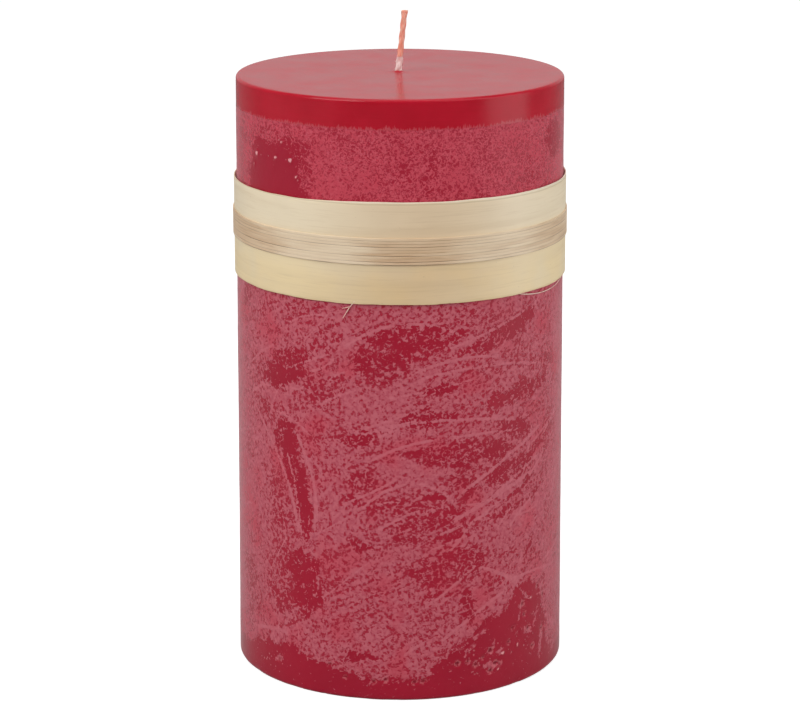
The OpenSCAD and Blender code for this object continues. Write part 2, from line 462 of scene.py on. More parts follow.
# Open bubbles: azimuth, height in mm, radius and depth in mm; a negative depth is a raised blister
PITS = [
    (-58, 136, 0.9, -0.25), (-47, 136, 0.7, -0.25), (-40, 136, 0.9, -0.25), (-37.5, 132, 0.7, -0.2),
    (-60, 133, 0.6, -0.2), (-44, 140, 0.7, -0.2), (-47, 6.5, 1.0, 0.25), (-25, 8.5, 0.8, 0.3),
    (-9, 5, 0.8, 0.3), (-5, 5.6, 0.9, 0.3), (5, 5, 0.8, 0.3), (8, 5.2, 0.9, 0.3), (20, 9, 0.9, 0.35),
    (24, 9.3, 0.7, 0.3), (27, 8, 0.9, 0.3), (33, 11, 1.0, 0.4), (35, 7.3, 0.9, 0.35), (37, 7, 0.7, 0.3),
    (33, 5.6, 0.9, 0.35), (41, 12, 0.8, 0.3), (48, 21, 0.9, 0.3), (49, 18, 0.8, 0.3), (51, 14, 0.9, 0.3),
    (54, 8.6, 0.9, 0.3), (60, 12, 0.9, 0.3), (61, 21, 0.9, 0.3), (57, 24, 0.8, 0.3),
    (30, 9.5, 0.7, 0.3), (38, 9.6, 0.8, -0.25), (43, 15.4, 0.7, 0.3), (45, 10.6, 0.7, -0.22),
    (36, 5.6, 0.7, -0.2), (52, 22, 0.7, -0.2), (47, 14.6, 0.6, -0.2), (-19, 5.6, 0.7, 0.3),
]

# Regions with many small bubbles: azimuth and height, then half the width and the height in mm
BUBBLY = [((33, 9), (11, 6)), ((50, 15), (5, 10)), ((62, 14), (4, 9)), ((2, 5), (7, 1.6)),
          ((-46, 138), (9, 5)), ((-36, 134), (3, 6)), ((-52, 7), (9, 4))]


def rings(places, columns):
    """Points of a stack of rings, each given as (centre x, centre y, radius, height)."""
    cx, cy, radius, height = (np.array(v, float)[:, None] for v in zip(*places))
    x, y = around(radius, columns[None, :])
    return np.stack([x + cx, y + cy, height + np.zeros_like(x)], 2)


def quarter(radius, height, rounding, start, steps):
    """Rings of a quarter rounding that starts at an angle, about the candle's axis."""
    angles = np.radians(np.linspace(start, start + 90, steps))
    return [(0, 0, radius - rounding + rounding * math.cos(a),
             height + rounding * math.sin(a)) for a in angles]


def push(grid, amount):
    """Moves points outward from the candle's axis."""
    reach = np.hypot(grid[..., 0], grid[..., 1])
    grid[..., :2] *= (1 + amount / reach)[..., None]


def pit_depth(azimuth, height):
    """How far the wall is sunk by the pits at each place."""
    depth = np.zeros_like(azimuth)
    for a, z, radius, deep in PITS:
        inside = tilted(azimuth, height, (a, z), 1.1 * radius, radius, 0)
        depth += 1.5 * deep * (1 - smooth(0.1, 1.0, inside))
    return depth * MM


def seat_places():
    """Rings of the seam, the bore, the wick tab's seat and the flat base, from the top down."""
    wx, wy = WICK_AXIS.x, WICK_AXIS.y
    tab_top = TAB_LOW.z + TAB_T
    return [
        (0, 0, wall_r(SEAM_Z), SEAM_Z), (wx, wy, BORE_R, SEAM_Z), (wx, wy, BORE_R, TAB_HIGH.z),
        (wx, wy, NECK_R, TAB_HIGH.z), (wx, wy, NECK_R, tab_top),
        (wx, wy, TAB_R + TAB_GAP, tab_top), (wx, wy, TAB_R + TAB_GAP, 0),
        (0, 0, 0.6 * FOOT_R, 0), (0, 0, 0.9 * FOOT_R, 0),
    ]


def wall_relief(part, azimuth, height):
    """How far each place of the wall stands out: gentle waves, less the pits and the foot's chips."""
    relief = 0.05 * MM * grain(part, 14 * MM, 5, 2) + 0.02 * MM * grain(part, 2.5 * MM, 6, 2)
    chips = smooth(0.25, 0.6, grain(part, 5 * MM, 8, 3)) * (1 - smooth(0.5, 3, height))
    relief -= pit_depth(azimuth, height) + 0.12 * MM * chips
    return relief * smooth(FADE_OUT, FADE_FROM, height)


def wax_body():
    """The main pour: its foot, its frosted wall, and the bore and tab seat inside it."""
    wall = np.arange(FOOT_ROUND / MM, SEAM_Z / MM, ROW_MM) * MM
    foot = quarter(wall_r(FOOT_ROUND), FOOT_ROUND, FOOT_ROUND, -90, 6)
    grid = rings(foot[:-1] + [(0, 0, wall_r(z), z) for z in wall] + seat_places(), COLUMNS)
    shown = len(foot) - 1 + len(wall)
    azimuth = np.broadcast_to(COLUMNS[None, :], grid.shape[:2])
    height = grid[..., 2] / MM
    cover, pale, dark = frost_cover(azimuth, height, grid)
    part = grid[:shown]
    push(part, wall_relief(part, azimuth[:shown], height[:shown]))
    piece = lattice("wax_body_cast", grid)
    steep = 1 - smooth(0.7, 1.3, tilted(azimuth, height, STEEP_AT, *STEEP_SIZE, 0))
    bubbly = np.min([tilted(azimuth, height, at, *size, 0) for at, size in BUBBLY], 0)
    layers = {"frost": cover, "steep": steep, "pale_line": pale, "dark_line": dark,
              "pit": pit_depth(azimuth, height) / MM, "bubbly": 1 - smooth(0.6, 1.2, bubbly)}
    for name, values in layers.items():
        paint(piece, name, values)
    return piece


def top_pour():
    """The smooth pour that closes the top, with a slight dish and a meniscus round the wick."""
    columns = COLUMNS[::2]
    wall = np.linspace(SEAM_Z, CANDLE_H - RIM_ROUND, 14)
    rim = quarter(wall_r(CANDLE_H - RIM_ROUND), CANDLE_H - RIM_ROUND, RIM_ROUND, 0, 9)
    places = [(0, 0, wall_r(z), z) for z in wall[:-1]] + rim
    flat_r = rim[-1][2]
    for share in np.linspace(0, 1, 70)[1:] ** 0.8:
        places.append((WICK_AXIS.x * share, WICK_AXIS.y * share,
                       flat_r + (BORE_R - flat_r) * share, CANDLE_H))
    places += [(WICK_AXIS.x, WICK_AXIS.y, BORE_R, SEAM_Z), (0, 0, 0.5 * SEAM_R, SEAM_Z)]
    grid = rings(places, columns)
    face = grid[len(wall) - 1 + len(rim): -2]
    reach = np.hypot(face[..., 0], face[..., 1]) / flat_r
    from_wick = np.hypot(face[..., 0] - WICK_AXIS.x, face[..., 1] - WICK_AXIS.y) / MM
    face[..., 2] -= DISH * (1 - reach ** 2)
    face[..., 2] += MENISCUS * np.exp(-(from_wick - BORE_R / MM) / MENISCUS_REACH)
    face[..., 2] += 0.03 * MM * grain(face, 11 * MM, 9, 2) * smooth(1, 0.9, reach)
    side = grid[: len(wall)]
    push(side, 0.02 * MM * grain(side, 12 * MM, 10, 2))
    return lattice("top_pour_cast", grid)


# ---- wick

PLAIT_PERIOD = 9.3 * MM
# How far the plait's strands swing sideways and fore and aft, and how far round that is turned
PLAIT_WIDE, PLAIT_DEEP = 0.15 * MM, 0.12 * MM
PLAIT_TURN = math.radians(35)
PLAIT_R = 0.54 * MM
COAT_R = 0.64 * MM
TUBE_SIDES = 10
# Length of wick above the candle that has no coat of wax
BARE_H = 3.7 * MM


def wick_centre(height):
    """Point on the wick's middle line: straight in the wax, then leaning to the right."""
    free = max(0, height - CANDLE_H)
    return WICK_AXIS + Vector((free * math.sin(WICK_LEAN), 0,
                               min(height, CANDLE_H) + free * math.cos(WICK_LEAN)))


def wick_flare(height):
    """How much the plait spreads where it leaves the wax and at its cut tip."""
    free = height - CANDLE_H
    spread = 0.9 * math.exp(-(free / (3 * MM)) ** 2) * float(smooth(-0.1 * MM, 0.25 * MM, free))
    tip = WICK_END - height
    return 1 + spread + 0.22 * math.exp(-(tip / (0.9 * MM)) ** 2)


def plait_tube(strand, heights, thickness):
    """Rings of one of the three plaited strands, one at each height."""
    points = []
    c, s = math.cos(PLAIT_TURN), math.sin(PLAIT_TURN)
    for height in heights:
        phase = 2 * math.pi * (height / PLAIT_PERIOD + strand / 3)
        spread = wick_flare(height)
        wide = PLAIT_WIDE * spread * math.sin(phase)
        deep = PLAIT_DEEP * spread * math.sin(2 * phase)
        centre = wick_centre(height) + Vector((wide * c - deep * s, wide * s + deep * c, 0))
        radius = thickness * (1 + 0.5 * (spread - 1))
        for k in range(TUBE_SIDES):
            a = 2 * math.pi * k / TUBE_SIDES
            points.append(centre + Vector((radius * math.cos(a), radius * math.sin(a), 0)))
    return np.array(points).reshape(len(heights), TUBE_SIDES, 3)


def plait_tubes(name, heights, thickness):
    """The three strands of the plait as separate objects."""
    return [lattice(f"{name}_{k}", plait_tube(k, heights, thickness), wrap_rows=False)
            for k in range(3)]


def join(name, pieces):
    """Joins pieces into a new one with this name."""
    work = bmesh.new()
    for piece in pieces:
        work.from_mesh(piece.data)
    bmesh.ops.recalc_face_normals(work, faces=work.faces)
    mesh = bpy.data.meshes.new(name)
    work.to_mesh(mesh)
    work.free()
    mesh.shade_smooth()
    for piece in pieces:
        bpy.data.objects.remove(piece)
    return placed(name, mesh)


def settle(piece, *modifiers):
    """Runs modifiers, given as (kind, settings), and keeps the result as the piece's mesh."""
    for kind, settings in modifiers:
        made = piece.modifiers.new(kind, kind)
        for key, value in settings.items():
            setattr(made, key, value)
    seen = bpy.context.evaluated_depsgraph_get()
    mesh = bpy.data.meshes.new_from_object(piece.evaluated_get(seen))
    piece.modifiers.clear()
    piece.data = mesh
    mesh.shade_smooth()


def wick_plait():
    """Three plaited cotton strands, all the way up through the candle."""
    heights = np.concatenate([np.arange(TAB_LOW.z, CANDLE_H - 2 * MM, 0.8 * MM),
                              np.arange(CANDLE_H - 2 * MM, WICK_END, 0.2 * MM)])
    return join("wick_plait", plait_tubes("plait", heights, PLAIT_R))


def wick_coat():
    """The wax that clings to the free end and fills the plait's grooves."""
    heights = np.arange(CANDLE_H + BARE_H, WICK_END + 0.05 * MM, 0.2 * MM)
    coat = join("wick_coat", plait_tubes("coat", heights, COAT_R))
    settle(coat, ("REMESH", {"mode": "VOXEL", "voxel_size": 0.09 * MM}),
           ("SMOOTH", {"factor": 0.6, "iterations": 8}))
    return coat


def wick_fuzz():
    """Loose cotton ends round the bare base of the wick."""
    random = np.random.default_rng(3)
    hairs = []
    for k in range(14):
        turn = random.uniform(0, 2 * math.pi)
        start = wick_centre(CANDLE_H + random.uniform(0.2, 3.2) * MM)
        out = Vector((math.cos(turn), math.sin(turn), 0))
        reach = random.uniform(0.25, 0.55) * MM
        rise = random.uniform(-0.3, 0.8) * MM
        path = [start + out * (0.75 * MM + reach * t) + Vector((0, 0, rise * t * t))
                for t in np.linspace(0, 1, 6)]
        hairs.append(hair(f"fuzz_{k}", path, 0.03 * MM))
    return join("wick_fuzz", hairs)


def hair(name, path, radius):
    """A tapering fibre along a path."""
    rows = []
    for k, point in enumerate(path):
        ahead = (path[min(k + 1, len(path) - 1)] - path[max(k - 1, 0)]).normalized()
        side = ahead.orthogonal().normalized()
        other = ahead.cross(side)
        slim = radius * (1 - 0.6 * k / (len(path) - 1))
        rows.append([point + slim * (side * math.cos(a) + other * math.sin(a))
                     for a in np.linspace(0, 2 * math.pi, 7)[:-1]])
    return lattice(name, np.array(rows), wrap_rows=False)


# ---- band

# How far the strip's edges wave, how far its upper edge sags at the left, and how far its lower
# edge flares out
EDGE_WAVE = 0.12 * MM
STRIP_SAG = 0.7 * MM
EDGE_FLARE = 0.05 * MM
# Share of the strands' spacing that a strand fills, how far all of them wander up and down, and
# how much their thickness varies
STRAND_FILL = 0.99
STRAND_WANDER = 0.05 * MM
STRAND_SWELL = 0.08
# Gap between the wall and the splinters that hang in front of it
HANG_GAP = 0.1 * MM


def strip_inner(t):
    """The strip's inner radius, t degrees along it from its inner end."""
    return STRIP_R + (STRIP_T + GLUE_T) * smooth(360 - CLIMB, 360, t)


def bed_r(t):
    """Radius of the strip's outer face, t degrees round from its inner end."""
    over = np.maximum(smooth(360 - CLIMB, 360, t), 1 - smooth(STRIP_LAP, STRIP_LAP + CLIMB, t))
    return STRIP_R + STRIP_T + (STRIP_T + GLUE_T) * over


def strand_inner(s):
    """A strand's inner radius, s degrees along it from its own inner end."""
    climbed = (STRAND_T + GLUE_T) * smooth(360 - CLIMB, 360, s)
    return bed_r(np.mod(BELT_START + s, 360)) + climbed


def azimuth_of(grid):
    """Azimuth of each point, from -180 to 180 degrees."""
    return np.degrees(np.arctan2(grid[..., 0], -grid[..., 1]))


def section(width, thickness, rounding, across):
    """A closed cross-section with rounded corners, as (distance out, height) pairs.

    Both its long sides have extra points, as many as across says."""
    pairs = []
    steps = 4
    corners = [(thickness - rounding, rounding, -90), (thickness - rounding, width - rounding, 0),
               (rounding, width - rounding, 90), (rounding, rounding, 180)]
    for out, up, start in corners:
        for a in np.radians(np.linspace(start, start + 90, steps)):
            pairs.append((out + rounding * math.cos(a), up + rounding * math.sin(a)))
    edge = steps - 1
    filled = []
    for k, pair in enumerate(pairs):
        filled.append(pair)
        if k in (edge, edge + 2 * steps):
            after = pairs[(k + 1) % len(pairs)]
            for share in np.linspace(0, 1, across + 2)[1:-1]:
                filled.append((pair[0] + (after[0] - pair[0]) * share,
                               pair[1] + (after[1] - pair[1]) * share))
    return np.array(filled)


def wound(turn, inner, start, pairs, base):
    """Sweeps a cross-section round the candle. turn is in degrees from the inner end."""
    plan = np.radians(start + turn)[:, None]
    radius = inner[:, None] + pairs[None, :, 0]
    return np.stack([radius * np.cos(plan), radius * np.sin(plan),
                     base + pairs[None, :, 1] + np.zeros_like(radius)], 2)


def spine_of(grid):
    """Where each ring of a wound piece starts, in plan."""
    return np.stack([grid[:, 0, 0], grid[:, 0, 1], np.zeros(len(grid))], 1)


def strip():
    """The wide veneer strip: thin, slightly wavy along its edges, lapped at the back."""
    turn = np.arange(0, 360 + STRIP_LAP + 0.01, 0.6)
    pairs = section(STRIP_HIGH.z - STRIP_LOW.z, STRIP_T, 0.12 * MM, 16)
    grid = wound(turn, strip_inner(turn), STRIP_START, pairs, STRIP_LOW.z)
    up = (grid[..., 2] - STRIP_LOW.z) / (STRIP_HIGH.z - STRIP_LOW.z)
    spine = spine_of(grid)
    top, bottom = (grain(spine, size * MM, seed, 3) for size, seed in ((9, 21), (7, 22)))
    grid[..., 2] += EDGE_WAVE * (top[:, None] * up ** 6 + bottom[:, None] * (1 - up) ** 6)
    left = smooth(0, 1, -grid[..., 0] / STRIP_R)
    grid[..., 2] -= STRIP_SAG * left * up ** 2
    flare = EDGE_FLARE * (1 - up) ** 8 * (0.5 + grain(spine, 12 * MM, 23, 2))[:, None]
    push(grid, flare)
    piece = lattice("veneer_strip", grid, wrap_rows=False, sharp=60)
    # Painted shade across the front of the strip, strongest at azimuth 8 and gone 50 degrees either side
    paint(piece, "shade_and_brown", 1 - smooth(0, 50, np.abs(azimuth_of(grid) - 8)))
    return piece


# How dark the painted shade in the gap under each strand is, from the lowest strand up
GAP_SHADES = (1.0, 0.8, 0.15, 0.9, 0.2, 0.25, 1.0, 0.5, 0.6)
# How brown and how shaded the belt is painted, by azimuth: real brown streaks at the left, painted shade
# across the front and painted highlights near -30 and +40 degrees
BELT_SHADE_AND_BROWN = ((-180, 0.6), (-100, 0.6), (-66, 0.75), (-48, 0.6), (-38, 0.1), (-18, 0.15), (-6, 0.75),
         (14, 0.8), (26, 0.35), (45, 0.25), (56, 0.5), (72, 0.65), (100, 0.3), (180, 0.6))


def strand(node):
    """One fine strand of the belt, with its own swelling, its own tone, painted shade and highlights by
    azimuth, painted shade in the gap under it, and the wander of them all.
    """
    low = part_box(node)[0]
    row = BELT_NODES.index(node)
    turn = np.arange(0, 360 + BELT_LAP + 0.01, 0.8)
    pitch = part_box(BELT_NODES[1])[0].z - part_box(BELT_NODES[0])[0].z
    height = pitch * STRAND_FILL
    pairs = section(height, STRAND_T, 0.08 * MM, 5)
    grid = wound(turn, strand_inner(turn), STRIP_START + BELT_START, pairs, low.z)
    spine = spine_of(grid)
    own = grain(spine, 12 * MM, 30 + row, 2)[:, None]
    up = (grid[..., 2] - low.z) / height
    grid[..., 2] += STRAND_WANDER * grain(spine, 20 * MM, 40, 2)[:, None]
    reach = np.hypot(grid[..., 0], grid[..., 1]) - strand_inner(turn)[:, None]
    push(grid, -reach * STRAND_SWELL * (0.5 + own))
    piece = lattice(node + "_fibre", grid, wrap_rows=False, sharp=60)
    # Painted shade across the front and painted highlights near -30 and +40 degrees, mixed with real
    # brown streaks
    paint(piece, "shade_and_brown", np.interp(azimuth_of(grid), *zip(*BELT_SHADE_AND_BROWN)) + 0.35 * own)
    # Painted shade along the lower edge of each strand, in the gap above the strand below
    paint(piece, "line", GAP_SHADES[row] * (1 - smooth(0.1, 0.2, up)) * (0.9 + 0.6 * own))
    return piece


def near_wall(azimuth, height, lift):
    """Point just outside the wall at an azimuth and a height in mm, lifted off by so many mm."""
    radius = wall_r(height * MM) + HANG_GAP + lift * MM
    x, y = around(radius, azimuth)
    return Vector((x, y, height * MM))


def stray_fibres():
    """Splinters that hang from the strip's lower edge: a forked one, and a long one to the right."""
    few, some, many = (np.linspace(0, 1, count) for count in (6, 8, 24))
    stem = [near_wall(-15.2 - 2.0 * t, 102.9 - 1.9 * t, 0.4 - 0.15 * t) for t in some]
    fork = [near_wall(-17.2 - 2.2 * t, 101.0 - 2.6 * t, 0.25) for t in some]
    side = [near_wall(-17.0 - 2.6 * t, 101.3 - 0.5 * t, 0.25) for t in few]
    long = [near_wall(44 + 34 * t, 102.4 - 1.5 * math.sin(math.pi * t) ** 0.7, 0.3 - 0.1 * t)
            for t in many]
    paths = {"stem": (stem, 0.17), "fork": (fork, 0.15), "side": (side, 0.13), "long": (long, 0.14)}
    return join("stray_fibres", [hair(f"stray_{key}", path, radius * MM)
                                 for key, (path, radius) in paths.items()])


# ---- materials

def add_wax(graph, colour, roughness, normal, bloom=0.0):
    """Finishes a wax: light goes a little way into it, and bloom makes it paler at its sides."""
    return graph.finish(
        Base_Color=colour, Roughness=roughness, Normal=normal, IOR=1.38,
        Subsurface_Weight=0.12, Subsurface_Scale=1.2 * MM, Subsurface_Radius=(1.0, 0.25, 0.2),
        Sheen_Weight=bloom, Sheen_Roughness=0.3,
    )


def threads(g, size, width, place=None, shift=0):
    """Thin winding lines: 1 along them and 0 between them."""
    fac = g.noise(size, place, detail=1, distortion=0.4, shift=shift)
    return g.rise(g.math("ABSOLUTE", g.less(fac, 0.5)), width, 0.0)


def fringe(g):
    """1 below the ragged line of crystals where the frost meets the pour, and 0 above it."""
    feather = g.noise(0.42, g.twisted(-40, 6), detail=2, roughness=0.6, shift=5)
    slow = g.noise(6, shift=7)
    height = g.math("MULTIPLY_ADD", feather, -3.4, g.z)
    height = g.math("MULTIPLY_ADD", slow, -1.6, height)
    return g.rise(height, SEAM_Z / MM - 1.9, SEAM_Z / MM - 2.3)


def frost_lumps(g, under_band):
    """Crystals of the frost, a little coarser from the band down than above it."""
    coarse = g.noise(0.85, detail=1, distortion=0.5)
    fine = g.noise(0.6, detail=1, distortion=1.2, shift=11)
    return g.math("ADD", g.times(coarse, under_band), g.times(fine, g.less(1.0, under_band)))


def frost_scratches(g):
    """Fine scratches that rise to the right, or fall steeply where the wall is painted so."""
    rising = threads(g, 1.9, 0.045, g.twisted(0.5, 9), 2)
    flat = threads(g, 2.1, 0.04, g.twisted(0.16, 9), 8)
    falling = threads(g, 1.8, 0.05, g.twisted(-3.6, 9), 3)
    right = g.math("MAXIMUM", rising, g.times(flat, 0.8))
    return g.blend(g.painted("steep"), right, falling)


def frost_cells(g):
    """Bent cells: 0 at their middles, where the frost has small holes, and more between them."""
    warp = g.node("ShaderNodeTexNoise", Vector=g.place, Scale=1.2, Detail=1).outputs["Color"]
    return g.cells(1.1, g.vector("ADD", g.place, g.vector("SCALE", warp, scale=0.9)))


def frost_level(g, cover, lumps, pale_line, dark_line, under_band):
    """How strong the frost is: its painted cover, varied by all the finer patterns."""
    smear = g.noise(2.2, g.twisted(0.45, 5), detail=2, shift=9)
    layers = (
        (g.less(lumps, 0.5), 1.7),
        (g.times(g.less(frost_cells(g), 0.42), under_band), 0.9),
        (g.times(g.less(smear, 0.5), under_band), 0.9),
        (g.times(g.less(frost_scratches(g), 0.3), under_band), 0.24),
        (g.less(threads(g, 1.5, 0.07, shift=1), 0.3), 0.5),
        (pale_line, 0.5),
        (dark_line, -0.5),
    )
    level = cover
    for layer, weight in layers:
        level = g.math("MULTIPLY_ADD", layer, weight, level)
    return level


def frost_colour(g, crust, haze, lumps, pale_line, under_band):
    """Deep red under a thin haze where the crust is 0, and pink crystals, redder above the band."""
    deep = g.blend(g.noise(16, detail=2, shift=6), rgb(164, 5, 42), rgb(180, 10, 47))
    under = g.coat(deep, haze, 0.5, 184, 48, 68)
    broad = g.rise(g.noise(11, detail=2, shift=4), 0.52, 0.7)
    lump = g.rise(lumps, 0.35, 0.7)
    pale = g.blend(lump, rgb(194, 82, 98), rgb(206, 104, 117))
    redder = g.blend(lump, rgb(204, 62, 82), rgb(212, 84, 100))
    pale = g.blend(under_band, redder, pale)
    pale = g.coat(pale, broad, 0.6, 206, 66, 84)
    pale = g.coat(pale, pale_line, 0.45, 214, 120, 132)
    return g.blend(crust, under, pale)


def small_bubbles(g):
    """1 on small bubbles, which lie in loose groups where the wall is painted bubbly."""
    dots = g.rise(g.cells(1.25), 0.24, 0.12)
    dots = g.times(dots, g.rise(g.noise(2.4, shift=10), 0.47, 0.55))
    return g.times(dots, g.painted("bubbly"))


def pit_light_and_shade(g, colour):
    """The colour with pits in it: uneven painted highlights on their rims, painted shade on their
    floors, and painted highlights on the crowns of blisters.
    """
    pit = g.painted("pit")
    uneven = g.rise(g.noise(0.7, shift=14), 0.4, 0.6)
    rim = g.times(g.rise(pit, 0.0, 0.06), g.times(uneven, 0.6))
    colour = g.blend(rim, colour, rgb(214, 116, 124))
    colour = g.blend(g.rise(pit, 0.14, 0.4), colour, rgb(146, 12, 38))
    return g.blend(g.rise(pit, -0.1, -0.25), colour, rgb(244, 168, 172))


def frosted_wax():
    """Deep red wax under a crust of fine pale crystals, dense or sparse as the frost is painted."""
    g = Graph("frosted_wax")
    cover = g.painted("frost")
    under_band = g.rise(g.z, STRIP_HIGH.z / MM, STRIP_LOW.z / MM)
    lumps = frost_lumps(g, under_band)
    broken = g.times(g.less(g.noise(0.8, shift=13), 0.5), 0.35)
    pale_line = g.rise(g.math("ADD", g.painted("pale_line"), broken), 0.64, 0.82)
    dark_line = g.rise(g.math("ADD", g.painted("dark_line"), broken), 0.62, 0.82)
    level = frost_level(g, cover, lumps, pale_line, dark_line, under_band)
    below_pour = fringe(g)
    crust = g.times(g.rise(level, 0.33, 0.66), below_pour)
    haze = g.times(g.rise(cover, 0.1, 0.8), below_pour)
    colour = frost_colour(g, crust, haze, lumps, pale_line, under_band)
    bubbles = small_bubbles(g)
    colour = g.coat(colour, bubbles, 0.55, 224, 132, 140)
    # Painted highlights and shade of the pits and blisters
    colour = pit_light_and_shade(g, colour)
    roughness = g.fit(crust, 0, 1, 0.36, 0.6)
    relief = g.math("MULTIPLY_ADD", bubbles, -2.0, g.math("MULTIPLY_ADD", lumps, 0.5, crust))
    return add_wax(g, colour, roughness, g.bump(relief, 0.06 * MM, 0.7), bloom=0.45)


def smooth_wax():
    """Deep, glossy red wax with faint clouds and drag marks."""
    g = Graph("smooth_wax")
    cloud = g.noise(9, detail=3, roughness=0.55)
    drag = g.noise(1.2, g.vector("MULTIPLY", g.place, (0.12, 0.12, 2.2)), detail=2, shift=1)
    share = g.math("MULTIPLY_ADD", drag, 0.25, g.times(cloud, 0.75))
    colour = g.blend(g.rise(share, 0.3, 0.7), rgb(184, 3, 34), rgb(195, 6, 39))
    speck = g.rise(g.noise(0.5, detail=3, roughness=0.7, shift=2), 0.66, 0.8)
    colour = g.coat(colour, speck, 0.12, 206, 80, 90)
    crystals = g.blend(cloud, rgb(196, 66, 78), rgb(206, 88, 98))
    colour = g.blend(g.times(fringe(g), 0.85), colour, crystals)
    roughness = g.fit(cloud, 0.3, 0.7, 0.20, 0.27)
    normal = g.bump(g.math("ADD", cloud, g.times(speck, 0.1)), 0.08 * MM, 0.35)
    return add_wax(g, colour, roughness, normal)


def waxed_cotton():
    """Cotton soaked in dyed wax: salmon, with darker twisted streaks and patches."""
    g = Graph("waxed_cotton")
    twist = g.noise(0.55, g.twisted(0.4, 3), detail=2)
    patch = g.noise(1.6, detail=2, shift=1)
    colour = g.blend(g.rise(twist, 0.35, 0.7), rgb(255, 168, 144), rgb(255, 210, 186))
    colour = g.coat(colour, g.rise(patch, 0.5, 0.75), 0.5, 255, 176, 146)
    normal = g.bump(twist, 0.06 * MM, 0.5)
    return g.finish(Base_Color=colour, Roughness=g.fit(twist, 0, 1, 0.5, 0.32), Normal=normal,
                    Subsurface_Weight=0.15, Subsurface_Scale=0.4 * MM,
                    Subsurface_Radius=(1.0, 0.45, 0.35))


def bare_cotton():
    """The wick's cotton where little wax clings to it: pinkish white, with fine fibres."""
    g = Graph("bare_cotton")
    fibre = g.noise(0.18, g.twisted(0.8, 5), detail=2)
    stain = g.noise(1.1, detail=2, shift=1)
    colour = g.blend(g.rise(stain, 0.45, 0.75), rgb(240, 206, 200), rgb(226, 150, 142))
    colour = g.blend(g.times(g.rise(fibre, 0.4, 0.65), 0.35), rgb(250, 226, 220), colour)
    return g.finish(Base_Color=colour, Roughness=g.fit(fibre, 0, 1, 0.95, 0.8),
                    Normal=g.bump(fibre, 0.05 * MM, 0.8), Sheen_Weight=0.3)


def veneer():
    """Pale veneer: fine grain along the strip, a yellower lower half, light cut edges, and painted shade
    across its front.
    """
    g = Graph("veneer")
    low, wide = STRIP_LOW.z / MM, (STRIP_HIGH.z - STRIP_LOW.z) / MM
    along = g.vector("MULTIPLY", g.place, (0.045, 0.045, 1))
    lines = g.noise(0.55, along, detail=3, roughness=0.6)
    bands = g.noise(3.2, along, detail=2, shift=1)
    blotch = g.noise(15, detail=2, shift=2)
    fleck = g.rise(g.noise(0.9, g.vector("MULTIPLY", g.place, (0.8, 0.8, 1.6)), detail=2, shift=3),
                   0.72, 0.82)
    up = g.fit(g.z, low, low + wide, 0, 1)
    shade_and_brown = g.painted("shade_and_brown")
    colour = g.blend(g.rise(up, 0.15, 0.75), rgb(254, 229, 179), rgb(253, 235, 202))
    colour = g.coat(colour, g.rise(blotch, 0.4, 0.7), 0.5, 246, 228, 195)
    colour = g.coat(colour, g.rise(bands, 0.45, 0.7), 0.25, 226, 200, 158)
    colour = g.coat(colour, g.rise(lines, 0.5, 0.72), 0.16, 208, 178, 132)
    colour = g.coat(colour, fleck, 0.35, 176, 150, 122)
    # Painted shade: the strip darker and browner across its front
    colour = g.blend(g.times(shade_and_brown, 0.8), colour, (0.84, 0.74, 0.66, 1), "MULTIPLY")
    wander = g.times(g.noise(5, detail=1, shift=4), 0.3)
    from_top = g.math("ADD", g.less(low + wide, g.z), wander)
    score = g.times(g.rise(from_top, 0.55, 0.75), g.rise(from_top, 1.05, 0.85))
    colour = g.coat(colour, score, 0.35, 186, 160, 118)
    edge = g.rise(from_top, 0.6, 0.4)
    from_foot = g.math("ADD", g.less(g.z, low), wander)
    hem = g.rise(from_foot, 0.75, 0.45)
    colour = g.coat(colour, edge, 0.8, 246, 232, 208)
    colour = g.coat(colour, hem, 0.6, 238, 208, 158)
    relief = g.math("MULTIPLY_ADD", lines, 0.6, g.times(bands, 0.6))
    relief = g.less(relief, g.times(score, 0.5))
    return g.finish(Base_Color=colour, Roughness=g.fit(lines, 0.3, 0.7, 0.38, 0.5),
                    Normal=g.bump(relief, 0.05 * MM, 0.5), Specular_IOR_Level=0.9)


def dried_strand():
    """Dried plant strands: pinkish cream to tan, partly real brown and partly painted shade and
    highlights, with fine fibres and painted shade in the lines between them.
    """
    g = Graph("dried_strand")
    shade_and_brown, line = g.painted("shade_and_brown"), g.painted("line")
    along = g.vector("MULTIPLY", g.place, (0.04, 0.04, 1))
    fibre = g.noise(0.3, along, detail=3, roughness=0.6)
    # Pinkish cream to tan as painted: brown streaks, painted shade and painted highlights
    colour = g.blend(g.rise(shade_and_brown, 0.0, 1.0), rgb(245, 222, 190), rgb(220, 186, 148))
    streaky = g.times(g.rise(fibre, 0.52, 0.72), g.rise(shade_and_brown, 0.1, 0.9))
    colour = g.coat(colour, streaky, 0.55, 190, 146, 102)
    # Painted shade in the gaps between strands, fainter where the belt is painted lighter
    line = g.times(line, g.fit(shade_and_brown, 0.0, 0.8, 0.35, 1.0))
    colour = g.blend(line, colour, rgb(126, 84, 54))
    return g.finish(Base_Color=colour, Roughness=g.fit(fibre, 0.3, 0.7, 0.36, 0.5),
                    Normal=g.bump(fibre, 0.03 * MM, 0.5), Specular_IOR_Level=0.7)


def splinter():
    """Pale, slightly pink fibre torn from the strip."""
    g = Graph("splinter")
    tint = g.noise(1.4, detail=2)
    colour = g.blend(g.rise(tint, 0.35, 0.7), rgb(250, 228, 212), rgb(242, 200, 184))
    return g.finish(Base_Color=colour, Roughness=g.fit(tint, 0, 1, 0.6, 0.4))


